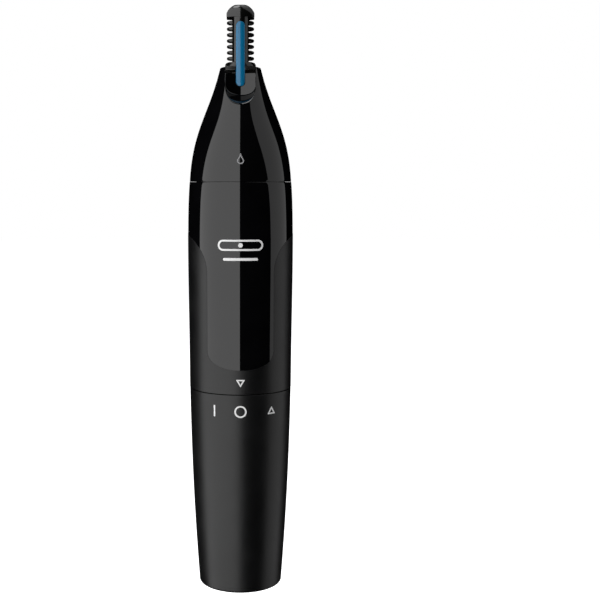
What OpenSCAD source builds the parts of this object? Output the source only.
// Nose hair trimmer with a twist base, built the way it comes apart on a bench.
// It stands on its base: +Z runs up the body to the cutting head and the front faces -Y.
// The origin is the centre of the flat foot, and all sizes are millimetres.

/* [Body outline] */
// Radius of the base just above its rounded foot
foot_r = 11.83; // [11.5:0.01:12.1]
// Radius where the base meets the handle
seam_r = 14.37; // [14.2:0.01:14.6]
// Radius of the handle at the head's parting line
parting_r = 14.25; // [14.1:0.01:14.5]
// Radius of the nozzle at its rim
nozzle_r = 5.77; // [5.6:0.01:6.2]
// Height of the seam between base and handle
seam_z = 57.2; // [57:0.1:57.6]
// Height of the parting line between handle and head
parting_z = 115.3; // [115:0.1:116]
// Height of the nozzle's outer corner
nozzle_z = 146.6; // [146.3:0.1:146.8]
// Open line at the seam and at the parting line
seam_gap = 0.24; // [0.1:0.02:0.3]

/* [Grip] */
// Thickness of the soft skin moulded over the handle
grip_t = 0.7; // [0.4:0.1:0.9]
// Half width of the gloss tongue left bare at the front and the back
tongue_half_w = 9.15; // [8.5:0.05:9.6]
// Lowest point of the tongue
tongue_z = 63.96; // [63:0.1:66]
// Height where the tongue starts to flare out
flare_z = 90.2; // [88:0.1:92]
// Radius of the flare
flare_r = 12.5; // [11:0.5:14]

/* [Cutting head] */
// Top of the guard's dome
top_z = 163.7; // [163.5:0.1:164]
// Radius of the guard's dome and of its front and back
guard_r = 4.1; // [4.05:0.01:4.2]
// Half width of the guard across its teeth
tooth_half_w = 3.8; // [3.7:0.01:3.85]
// Half width of the guard's core between the teeth
core_half_w = 2.3; // [2.2:0.01:2.4]
// Teeth on each side
teeth = 7; // [5:1:7]
// Height from one tooth to the next
tooth_pitch = 1.61; // [1.55:0.01:1.61]
// Middle of the lowest tooth
first_tooth_z = 149.15; // [149.1:0.01:149.3]
// Travel of the cutter
stroke = 1.2; // [0.8:0.1:1.2]
// Width of the coloured strip down the front of the guard
strip_w = 2.5; // [2.2:0.1:2.6]
// Lower end of the strip
strip_z = 141.3; // [141:0.1:143]

/* [Twist base] */
// Turn from off to on
on_deg = 30; // [25:0.5:32]
// Turn from off to open
open_deg = 36.7; // [34:0.1:38]
// Middle height of the marks on the base
dial_z = 52.5; // [52:0.1:53]
// Middle height of the pointer on the handle
pointer_z = 60.4; // [60:0.1:61]
// Thickness of the printed marks
print_t = 0.06; // [0.04:0.01:0.1]

/* [Battery cell] */
// Radius over the label of the AA cell
cell_r = 7.2; // [7:0.05:7.25]
// Length of the AA cell with its positive cap
cell_l = 50.5; // [50:0.1:50.5]

/* [Motor] */
// Radius of the round sides of the motor can
can_r = 10.05; // [9.8:0.05:10.05]
// Distance across the flats of the motor can
can_flats = 15.1; // [14.5:0.1:15.1]
// Radius of the motor shaft
shaft_r = 1; // [0.9:0.05:1]

/* [Hidden] */
$fn = 64;
eps = 0.01;
fit = 0.08;          // radial running clearance of shafts and guides
gap = 0.1;           // clearance of pieces that pass each other

// Base and its battery space
foot_round = 0.65;
foot_z = 0.7;
base_top_z = seam_z - seam_gap / 2;
floor_t = 2.2;
bore_r = 12.2;       // mouth of the base, which slides over the contact carrier
bore_z = 46;
well_r = 9.8;        // inside of the base at its floor
rib_r = 7.55;
rib_top_z = 20;
key_r = 10.3;
key_w = 2.4;
key_angles = [0, 180, 270];
strip_t = 0.45;
strip_angle = 90 - on_deg;

// Contact carrier, battery tube and switch ring
tube_r = 8.8;
tube_bore_r = 7.55;
tube_z = 24;
collar_r = 10.1;
collar_z = 45.8;
ring_z = 46.95;
ring_h = 4.9;
ring_r = 11.2;
carrier_z = 52;
carrier_r = 11.95;
frame_r = 12.45;
inner_r = 12.55;     // bore of the handle shell
frame_z = 60;
lug_angle = 225;
lug_w = 1.6;
lug_in = 9.4;
lug_out = 10.15;
lug_slack_deg = 0.6;
leaf_t = 0.25;
leaf_in = 11.35;
lead_z = 59.4;
lead_t = 0.4;
oring_z = 54.4;

// Motor and drive
end_cap_z = 62;
can_z = 64;
can_top_z = 87;
can_wall = 0.8;
boss_h = 1.6;
shelf_z = can_top_z + gap;
shelf_h = 1.4;
cam_r = 5;
cam_z = 89.4;
cam_top_z = 95.4;
cam_arm = 4;         // radius at which the foot of the rod rides on the cam
rod_r = 1.9;
foot_clear = 0.1;
flange_z = 97;
flange_h = 1.2;
flange_r = 5.2;
guide_z = 110.7;
guide_h = 1.8;
screw_x = 8.6;
screw_r = 1;
spring_r = 3.6;

// Head
spigot_z = 112.7;
spigot_r = 12.5;
spigot_in = 11;
ceiling_z = 134;
rod_hole_r = 2.2;
seat_r = 4.4;        // counterbore in the nozzle that holds the guard
seat_z = 144.9;
rim_z = nozzle_z + 0.2;
dome_z = 160.1;
slot_half = 0.35;
blade_half_t = 0.25;
strip_top_z = 158.8;
scoop_half_w = 4.15; // scooped seat for the comb attachment
scoop_r = 8.5;       // radius of its hollow back wall
scoop_back_y = -3.6;
scoop_end_z = 135.96; // where its ramp would run out, ahead of the cone
scoop_end_y = -9.1;
scoop_ramp = 24;
scoop_hollow_r = 1.2;// round between the back wall and the ramp
scoop_sag = 3;       // height of the half ellipse that closes its lower end
bridge_y = -4.15;    // flat front of the guard's foot, between the sides of the scoop
bridge_back_y = -3;

// Battery cell
cell_z = 5;
cap_h = 1.8;
label_t = 0.1;

// ---- curves -------------------------------------------------------------

function bez(a, b, c, d, t) =
    pow(1 - t, 3) * a + 3 * pow(1 - t, 2) * t * b + 3 * (1 - t) * t * t * c + pow(t, 3) * d;

function curve(a, b, c, d, n) = [for (i = [0:n]) bez(a, b, c, d, i / n)];

function arc(c, r, from, to, n) =
    [for (i = [0:n]) let (a = from + (to - from) * i / n) c + r * [cos(a), sin(a)]];

// Outer lines as [radius, height], each a single curve from bottom to top
function base_line() =
    curve([foot_r, foot_z], [foot_r + 1.48, foot_z + 20],
          [seam_r - 0.38, base_top_z - 21], [seam_r, base_top_z], 12);

function handle_line(bottom, top) =
    curve([seam_r, bottom], [seam_r + 0.08, bottom + 23.8],
          [parting_r + 0.99, top - 11.8], [parting_r, top], 12);

function head_line() =
    curve([parting_r - 0.04, parting_z + seam_gap / 2], [parting_r - 0.84, parting_z + 14.3],
          [nozzle_r + 3.05, nozzle_z - 12.8], [nozzle_r, nozzle_z - 0.5], 18);

function shifted(line, d) = [for (p = line) [p[0] + d, p[1]]];

handle_z0 = seam_z + seam_gap / 2;
handle_z1 = parting_z - seam_gap / 2;

// A ring section between two heights
module tube(r_out, r_in, z0, z1) {
    translate([0, 0, z0]) difference() {
        cylinder(r = r_out, h = z1 - z0);
        translate([0, 0, -1]) cylinder(r = r_in, h = z1 - z0 + 2);
    }
}

module rod(r, z0, z1) {
    translate([0, 0, z0]) cylinder(r = r, h = z1 - z0);
}

module torus(r, wire, z) {
    rotate_extrude() translate([r, z]) circle(r = wire, $fn = 24);
}

// Part of a turn of a [radius, height] outline, centred on an angle
module sector(outline, middle, span) {
    rotate([0, 0, middle - span / 2]) rotate_extrude(angle = span) polygon(outline);
}

// A box on a radius: from r0 to r1, w wide, at an angle
module spoke(r0, r1, w, z0, z1, angle) {
    rotate([0, 0, angle]) translate([r0, -w / 2, z0]) cube([r1 - r0, w, z1 - z0]);
}

// A thin skin just outside a line of the body
module skin(line, t) {
    rotate_extrude() polygon(concat(line, [for (i = [len(line) - 1:-1:0]) line[i] + [t, 0]]));
}

// An outline drawn on the front, carried round the body to an angle and pushed through it
module on_front(angle, z) {
    rotate([0, 0, angle]) translate([0, 0, z]) rotate([90, 0, 0])
        translate([0, 0, 8]) linear_extrude(10) children();
}

// A coil spring: a round wire swept along a helix whose radius may change
module coil(r0, r1, z0, z1, turns, wire) {
    steps = round(turns * 20);
    sides = 8;
    lean = atan((z1 - z0) / turns / (2 * PI * (r0 + r1) / 2));
    pts = [for (i = [0:steps]) let (t = i / steps, a = 360 * turns * t, r = r0 + (r1 - r0) * t)
           for (k = [0:sides - 1]) let (b = 360 * k / sides,
               u = wire * cos(b), v = wire * sin(b) * cos(lean), w = -wire * sin(b) * sin(lean))
           [(r + u) * cos(a) - w * sin(a), (r + u) * sin(a) + w * cos(a),
            z0 + (z1 - z0) * t + v]];
    walls = [for (i = [0:steps - 1]) for (k = [0:sides - 1]) let (m = (k + 1) % sides)
             [i * sides + k, (i + 1) * sides + k, (i + 1) * sides + m, i * sides + m]];
    polyhedron(pts, concat([[for (k = [0:sides - 1]) k]], walls,
                           [[for (k = [sides - 1:-1:0]) steps * sides + k]]));
}

// ---- handle -------------------------------------------------------------

// The gloss tongue seen from the front, pushed through to the back
module tongue_prism() {
    corner = 4;
    sag = 20;
    corner_deg = 70;
    side = flare_z;
    top = handle_z1 + 5;
    flare_end = 62;
    half = concat(
        arc([0, tongue_z + sag], sag, 270, 270 + 14, 4),
        arc([tongue_half_w - corner, tongue_z + corner + 1.0], corner, 270 + 90 - corner_deg, 360, 6),
        arc([tongue_half_w + flare_r, side], flare_r, 180, 180 - flare_end, 9),
        [[tongue_half_w + flare_r, top], [0, top]]);
    rotate([90, 0, 0]) linear_extrude(40, center = true) {
        polygon(half);
        mirror([1, 0]) polygon(half);
    }
}

module handle_shell() {
    color("#0a0a0a") difference() {
        rotate_extrude() polygon(concat([[inner_r, handle_z0]],
            handle_line(handle_z0, handle_z1), [[inner_r, handle_z1]]));
        difference() {
            rotate_extrude() polygon(concat(shifted(handle_line(handle_z0, handle_z1), -grip_t),
                [[20, handle_z1], [20, handle_z0]]));
            tongue_prism();
        }
    }
}

module grip_sleeve() {
    line = handle_line(handle_z0, handle_z1);
    color("#1c1c1d") difference() {
        skin(shifted(line, -grip_t), grip_t);
        tongue_prism();
    }
}

module pointer_mark() {
    w = 2.4;
    h = 2.0;
    stroke_w = 0.32;
    color("#e6e6e6") intersection() {
        skin(handle_line(handle_z0, handle_z1), print_t);
        on_front(0, pointer_z) triangle_ring(w, h, stroke_w, -1);
    }
}

// An outlined triangle, pointing up or down
module triangle_ring(w, h, line_w, way) {
    inner = 1 - 3.2 * line_w / h;
    difference() {
        polygon([[-w / 2, -way * h / 2], [w / 2, -way * h / 2], [0, way * h / 2]]);
        translate([0, -way * h / 2 * (1 - inner) / 3.2]) scale(inner)
            polygon([[-w / 2, -way * h / 2], [w / 2, -way * h / 2], [0, way * h / 2]]);
    }
}

module contact_carrier() {
    floor_z = 57;
    floor_top = 58.8;
    color("#2b2b2d") difference() {
        union() {
            rod(carrier_r, carrier_z, handle_z0 + gap);
            rod(frame_r, handle_z0 + gap, frame_z);
            spoke(lug_in, lug_out, lug_w, carrier_z - 1.3, carrier_z + 1, lug_angle);
        }
        rod(tube_r + 0.02, carrier_z - 1, floor_z);
        rod(10.5, floor_top, frame_z + 1);
        rod(1.05, floor_z - 1, floor_top + 1);
        tube(carrier_r + 1, carrier_r - 1, oring_z - 0.8, oring_z + 0.8);
        sector([[9.3, carrier_z - 1], [12.5, carrier_z - 1], [12.5, carrier_z + 0.7],
                [10, carrier_z + 0.7], [10, floor_top + 1], [9.3, floor_top + 1]], 90, 22);
    }
}

module battery_tube() {
    color("#3a3a3c") union() {
        tube(tube_r, tube_bore_r, tube_z, 56.9);
        tube(collar_r, tube_r - 0.5, collar_z, collar_z + 1);
    }
}

module base_oring() {
    color("#161616") torus(11.55, 0.57, oring_z);
}

module positive_contact() {
    color("#c9c5ba") union() {
        rod(3.6, cell_z + cell_l + 0.02, cell_z + cell_l + lead_t);
        rod(1, cell_z + cell_l, lead_z);
    }
}

module switch_leaf() {
    out = leaf_in + leaf_t;
    shelf = carrier_z + 0.35;
    color("#b98b4a") sector([[9.5, shelf - leaf_t], [leaf_in, shelf - leaf_t], [leaf_in, 44.5],
        [out, 44.5], [out, shelf], [9.5 + leaf_t, shelf], [9.5 + leaf_t, lead_z],
        [9.5, lead_z]], 90, 14);
}

module positive_lead() {
    color("#c9c5ba") translate([-6, -0.7, lead_z]) cube([7, 1.4, lead_t]);
}

module negative_lead() {
    w = 1.4;
    color("#c9c5ba") translate([0, 0, lead_z]) union() {
        translate([-w / 2, 4, 0]) cube([w, 5.9, lead_t]);
        translate([-w / 2, 4, 0]) cube([6 + w / 2, w, lead_t]);
        translate([6 - w, -w / 2, 0]) cube([w, 5, lead_t]);
    }
}

// ---- motor --------------------------------------------------------------

module can_shape(r, flats, z0, z1) {
    intersection() {
        rod(r, z0, z1);
        translate([-r, -flats / 2, z0 - 1]) cube([2 * r, flats, z1 - z0 + 2]);
    }
}

module motor_frame() {
    color("#4a4c50") difference() {
        union() {
            tube(frame_r, can_r + gap, frame_z, shelf_z + eps);
            tube(frame_r, 5.6, shelf_z, shelf_z + shelf_h);
            tube(frame_r, 11.2, shelf_z + shelf_h - eps, guide_z);
            for (x = [-screw_x, screw_x]) translate([x, 0, 0]) rod(2.75, 100, guide_z);
        }
        for (x = [-screw_x, screw_x]) translate([x, 0, 0]) rod(screw_r + 0.02, 103, guide_z + 1);
    }
}

module motor_can() {
    color("#b8bbbf") difference() {
        can_shape(can_r, can_flats, can_z, can_top_z);
        can_shape(can_r - can_wall, can_flats - 2 * can_wall, can_z - 1, can_top_z - can_wall);
        rod(3, can_top_z - 2, can_top_z + 1);
    }
}

module motor_magnets() {
    r_out = can_r - can_wall - 0.05;
    color("#55504c") for (a = [0, 180])
        sector([[7.2, 66], [r_out, 66], [r_out, 84], [7.2, 84]], a, 84);
}

module motor_end_cap() {
    color("#e4e0d4") difference() {
        can_shape(can_r, can_flats, end_cap_z, can_z);
        rod(shaft_r + fit, end_cap_z - 1, can_z + 1);
    }
}

module motor_terminals() {
    color("#c2a25a") for (x = [-6, 4.6])
        translate([x, -0.7, lead_z + lead_t]) cube([1.4, 1.4, end_cap_z - lead_z - lead_t]);
}

module motor_bearing() {
    color("#a8845c") tube(3, shaft_r + 0.05, can_top_z - can_wall, can_top_z + boss_h);
}

module motor_shaft() {
    color("#d6d8da") rod(shaft_r, 60.2, 95);
}

module armature() {
    poles = 3;
    core_r = 6.5;
    core_z = [68, 82];
    color("#a5632c") difference() {
        union() {
            rod(2.6, core_z[0] - 2.4, core_z[1] + 1.4);
            for (i = [0:poles - 1]) {
                spoke(0, 5.6, 2.2, core_z[0], core_z[1], 120 * i);
                sector([[5.4, core_z[0]], [core_r, core_z[0]], [core_r, core_z[1]], [5.4, core_z[1]]],
                       120 * i, 96);
            }
        }
        rod(shaft_r, core_z[0] - 5, core_z[1] + 5);
    }
}

// A collar with a slanted top that lifts the rod's foot once a turn
module face_cam() {
    slant = atan(stroke / 2 / cam_arm);
    lift_mid = cam_top_z - stroke / 2 * cam_r / cam_arm;
    color("#e9e7df") difference() {
        rod(cam_r, cam_z, cam_top_z);
        translate([0, 0, lift_mid]) rotate([slant, 0, 0])
            translate([-10, -10, 0]) cube([20, 20, 10]);
        rod(shaft_r, cam_z - 1, 95);
    }
}

// ---- drive and cutter ---------------------------------------------------

module drive_guide() {
    color("#3a3a3c") difference() {
        union() {
            rod(frame_r, guide_z, guide_z + guide_h);
            rod(3.1, guide_z - 2.2, guide_z + eps);
        }
        rod(rod_r + fit, guide_z - 4, guide_z + guide_h + 1);
        for (x = [-screw_x, screw_x]) translate([x, 0, 0])
            rod(screw_r + gap, guide_z - 1, guide_z + guide_h + 1);
    }
}

module guide_screws() {
    head_z = guide_z + guide_h;
    color("#9da0a3") for (x = [-screw_x, screw_x]) translate([x, 0, 0]) difference() {
        union() {
            rod(screw_r, 104, head_z + eps);
            rod(1.9, head_z, head_z + 1.2);
        }
        translate([-1.3, -0.25, head_z + 0.6]) cube([2.6, 0.5, 1]);
        translate([-0.25, -1.3, head_z + 0.6]) cube([0.5, 2.6, 1]);
    }
}

module return_spring() {
    wire = 0.25;
    color("#c4c7ca") coil(spring_r, spring_r, flange_z + flange_h + wire + 0.05,
                          guide_z - wire - 0.05, 6, wire);
}

module drive_rod() {
    foot_z0 = cam_top_z + foot_clear;
    color("#ece9e0") difference() {
        union() {
            rod(rod_r, flange_z, 145.5);
            rod(flange_r, flange_z, flange_z + flange_h);
            translate([0, cam_arm, 0]) rod(0.9, foot_z0 + 0.9, flange_z + eps);
            translate([0, cam_arm, foot_z0 + 0.9]) sphere(r = 0.9, $fn = 32);
        }
        translate([-3, -blade_half_t, 141]) cube([6, 2 * blade_half_t, 10]);
    }
}

module cutter_blade() {
    spine = 1.4;
    reach = 3.4;
    tooth_t = 0.7;
    color("#cfd2d5") rotate([90, 0, 0]) translate([0, 0, -blade_half_t])
        linear_extrude(2 * blade_half_t) union() {
            translate([-spine, 141]) square([2 * spine, 159.3 - 141]);
            for (i = [0:teeth - 1]) {
                z = first_tooth_z + i * tooth_pitch;
                polygon([[-reach, z - 0.2], [-spine, z - tooth_t / 2], [spine, z - tooth_t / 2],
                         [reach, z - 0.2], [reach, z + 0.2], [spine, z + tooth_t / 2],
                         [-spine, z + tooth_t / 2], [-reach, z + 0.2]]);
            }
        }
}

module rod_seal() {
    color("#7d8288") union() {
        tube(6.6, rod_r + fit, ceiling_z - 1, ceiling_z);
        tube(3, rod_r + fit, ceiling_z - 2.6, ceiling_z - 0.9);
    }
}

// ---- head ---------------------------------------------------------------

// The hollow scooped out of the front of the head, where a comb's tab is pushed in:
// a concave back wall that curves forward into a ramp, and straight sides
module scoop() {
    w = scoop_half_w;
    // Here the back wall has turned into the ramp
    turn = 90 - scoop_ramp;
    turn_y = scoop_back_y - scoop_hollow_r * (1 - cos(turn));
    turn_z = scoop_end_z + (turn_y - scoop_end_y) * tan(scoop_ramp);
    hollow_z = turn_z + scoop_hollow_r * sin(turn);
    intersection() {
        translate([0, scoop_back_y - scoop_r, scoop_end_z - 2]) linear_extrude(20) union() {
            intersection() {
                circle(r = scoop_r);
                translate([-w, -5]) square([2 * w, 5 + scoop_r]);
            }
        }
        translate([0, scoop_end_y, scoop_end_z]) rotate([90 + scoop_ramp, 0, 0])
            linear_extrude(40, center = true) union() {
                translate([0, scoop_sag]) scale([1, scoop_sag / w]) circle(r = w);
                translate([-w, scoop_sag]) square([2 * w, 20]);
            }
        across(3 * w) polygon(concat([[-20, hollow_z + 20], [-20, scoop_end_z],
            [scoop_end_y, scoop_end_z]],
            arc([scoop_back_y - scoop_hollow_r, hollow_z], scoop_hollow_r, -turn, 0, 8),
            [[scoop_back_y, hollow_z + 20]]));
    }
}

module head_shell() {
    z0 = parting_z + seam_gap / 2;
    color("#0a0a0a") difference() {
        rotate_extrude() polygon(concat(
            [[spigot_in, spigot_z], [spigot_r, spigot_z], [spigot_r, z0]], head_line(),
            [[nozzle_r - 0.27, nozzle_z], [seat_r, rim_z], [seat_r, seat_z], [rod_hole_r, seat_z],
             [rod_hole_r, ceiling_z], [7.4, ceiling_z], [9.4, 129.5], [11.2, 122]]));
        tube(spigot_r + 1, spigot_r - 0.9, 113.3, 114.7);
        scoop();
        // The scoop's upper end is open down to the seat, for the guard's flat foot
        translate([-scoop_half_w, bridge_back_y - 10, seat_z]) cube([2 * scoop_half_w, 10, 5]);
    }
}

module head_gasket() {
    color("#161616") torus(12.06, 0.44, 114);
}

// Front and back of the guard's core are full rounds
module core_outline(half_w, depth) {
    union() {
        for (s = [-1, 1]) translate([0, s * (depth - half_w)]) circle(r = half_w);
        square([2 * half_w, 2 * (depth - half_w)], center = true);
    }
}

module guard() {
    collar_top = 148.05;
    tooth_root = 2.0;
    tooth_depth = 1.9;
    dome_front_r = 6;    // the dome is flatter in front than the core
    dome_shoulder_r = 2.8;
    chin_z = 145.75;
    chin_y = bridge_y + 0.43;
    bed = 0.35;
    color("#101010") difference() {
        union() {
            // Foot in the nozzle, and the tapered collar that shows above it
            rotate_extrude() polygon([[0, seat_z], [4.36, seat_z], [4.36, rim_z], [4.12, 147.8],
                                      [3.9, 148], [0, collar_top + 0.15]]);
            translate([0, 0, 147]) linear_extrude(dome_z - 147 + 1)
                core_outline(core_half_w, guard_r);
            intersection() {
                for (i = [0:teeth - 1]) translate([0, 0, first_tooth_z + i * tooth_pitch])
                    rotate_extrude() polygon([[0, -0.62], [tooth_root, -0.62], [2.6, -0.47],
                        [3.5, -0.4], [tooth_half_w - 0.08, -0.28], [tooth_half_w, 0],
                        [tooth_half_w - 0.08, 0.28], [3.5, 0.38], [2.6, 0.46],
                        [tooth_root, 0.62], [0, 0.62]]);
                translate([-5, -tooth_depth, 140]) cube([10, 2 * tooth_depth, 30]);
            }
            // Dome over the top tooth: round as seen from in front, a lens as seen from above
            intersection() {
                rotate([90, 0, 0]) linear_extrude(12, center = true) intersection() {
                    translate([0, top_z - guard_r]) circle(r = guard_r);
                    translate([-tooth_half_w - 0.03, dome_z])
                        square([2 * tooth_half_w + 0.06, 10]);
                }
                for (s = [-1, 1]) translate([0, s * (dome_front_r - guard_r), 0])
                    rotate_extrude() polygon(concat([[0, dome_z], [dome_front_r, dome_z]],
                        arc([dome_front_r - dome_shoulder_r, top_z + 0.01 - dome_shoulder_r],
                            dome_shoulder_r, 0, 90, 8), [[0, top_z + 0.01]]));
            }
            // Flat bridge that closes the scoop's upper end
            across(2 * (scoop_half_w - 0.05)) polygon([[bridge_back_y - 0.03, seat_z + 0.06],
                [chin_y, seat_z + 0.06], [bridge_y, chin_z], [bridge_y, rim_z],
                [bridge_back_y - 0.03, rim_z]]);
        }
        // Room for the cutter's spine, its teeth and its travel
        rod(rod_r + 0.2, seat_z - 1, 147.2);
        translate([-1.7, -slot_half, 147]) cube([3.4, 2 * slot_half, 2]);
        translate([-5, -slot_half, 148.3]) cube([10, 2 * slot_half, dome_z - 148.3 + 0.05]);
        translate([-3.5, -slot_half, dome_z]) cube([7, 2 * slot_half, 1]);
        strip_prism(strip_w, seat_z - 2, strip_top_z, -guard_r + bed);
        // The foot's front is cut flat, and leans back under its chin
        across(12) polygon([[-8, seat_z - 1], [chin_y, seat_z - 1],
            [chin_y, seat_z + 0.06], [bridge_y, chin_z], [bridge_y, rim_z], [-8, rim_z]]);
    }
}

// Pushes a drawing of y and z to both sides, to a width along x
module across(width) {
    rotate([90, 0, 90]) linear_extrude(width, center = true) children();
}

// The strip's outline, round at both ends, from far in front back to a depth
module strip_prism(w, z0, z1, back_y) {
    rotate([90, 0, 0]) translate([0, 0, -back_y]) linear_extrude(10) union() {
        translate([-w / 2, z0 + w / 2]) square([w, z1 - z0 - w]);
        for (z = [z0 + w / 2, z1 - w / 2]) translate([0, z]) circle(r = w / 2);
    }
}

module accent_strip() {
    proud = 0.3;
    bed = 0.35;
    color("#1f6ea6") intersection() {
        strip_prism(strip_w - 0.04, strip_z, strip_top_z - 0.02, -guard_r + bed);
        translate([0, 0, strip_z - 1]) linear_extrude(strip_top_z - strip_z + 2)
            core_outline(core_half_w + proud, guard_r + proud);
    }
}

// ---- twist base ---------------------------------------------------------

module switch_ring() {
    groove_from = lug_angle - on_deg - lug_slack_deg - 4.7;
    groove_to = lug_angle + open_deg + lug_slack_deg + 4.7;
    groove_z = ring_z + ring_h - 1.6;
    top = ring_z + ring_h + 1;
    color("#d9d6cc") difference() {
        tube(ring_r, tube_r + fit, ring_z, ring_z + ring_h);
        for (a = key_angles) spoke(key_r - gap, ring_r + 1, key_w + 2 * gap, ring_z - 1, top, a);
        sector([[lug_in - 0.2, groove_z], [lug_out + 0.2, groove_z], [lug_out + 0.2, top],
                [lug_in - 0.2, top]], (groove_from + groove_to) / 2, groove_to - groove_from);
    }
}

module base_sleeve() {
    color("#1a1a1b") union() {
        rotate_extrude() polygon(concat([[0, 0]],
            arc([foot_r - foot_round, foot_round], foot_round, 270, 350, 4),
            base_line(), [[bore_r, base_top_z], [bore_r, bore_z], [well_r, floor_t],
            [0, floor_t]]));
        for (a = [0:90:270]) spoke(rib_r, well_r + 1.2, 1.2, floor_t - 1, rib_top_z, a);
        for (a = key_angles) spoke(key_r, bore_r + 0.5, key_w, ring_z + 0.3, 51, a);
    }
}

module battery_spring() {
    wire = 0.25;
    z0 = floor_t + strip_t;
    color("#c4c7ca") coil(4.4, 2.4, z0 + wire, cell_z - wire - 0.03, 2.5, wire);
}

module base_strip() {
    z_top = 50;
    grow = (bore_r - well_r) / (bore_z - floor_t);
    color("#c9c5ba") union() {
        sector([[well_r, floor_t], [bore_r, bore_z], [bore_r, z_top], [bore_r - strip_t, z_top],
                [bore_r - strip_t, bore_z], [well_r - strip_t + grow * strip_t, floor_t + strip_t],
                [2.2, floor_t + strip_t], [2.2, floor_t]], strip_angle, 12);
        rod(5, floor_t, floor_t + strip_t);
    }
}

module dial_marks() {
    line_w = 0.42;
    color("#e6e6e6") intersection() {
        skin(base_line(), print_t);
        union() {
            on_front(0, dial_z) difference() {
                circle(r = 1.68);
                circle(r = 1.68 - line_w);
            }
            on_front(-on_deg, dial_z) square([line_w, 3.2], center = true);
            on_front(open_deg, dial_z) triangle_ring(2.5, 2.1, 0.34, 1);
        }
    }
}

// ---- battery cell -------------------------------------------------------

cell_top = cell_z + cell_l - cap_h;

module cell_can() {
    r = cell_r - label_t;
    color("#b9a06a") rotate_extrude() polygon([[0, cell_z], [r - 0.5, cell_z],
        [r, cell_z + 0.5], [r, cell_top - 0.5], [r - 0.5, cell_top], [6, cell_top],
        [6, cell_top - 0.6], [0, cell_top - 0.6]]);
}

module cell_label() {
    color("#6a2c6e") tube(cell_r, cell_r - label_t, cell_z + 0.8, cell_top - 0.8);
}

module cell_seal() {
    color("#e8e6df") tube(6, 4.2, cell_top - 0.6, cell_top - 0.1);
}

module cell_cap() {
    color("#c8cacc") union() {
        rod(4.2, cell_top - 0.6, cell_top);
        rod(2.75, cell_top - eps, cell_z + cell_l - 0.05);
    }
}

handle_shell();
grip_sleeve();
head_shell();
guard();
accent_strip();
pointer_mark();
contact_carrier();
battery_tube();
base_oring();
positive_contact();
switch_leaf();
positive_lead();
negative_lead();
motor_frame();
motor_can();
motor_magnets();
motor_end_cap();
motor_terminals();
motor_bearing();
drive_guide();
guide_screws();
return_spring();
rod_seal();
head_gasket();
motor_shaft();
armature();
face_cam();
drive_rod();
cutter_blade();
switch_ring();
base_sleeve();
battery_spring();
base_strip();
dial_marks();
cell_can();
cell_label();
cell_cap();
cell_seal();
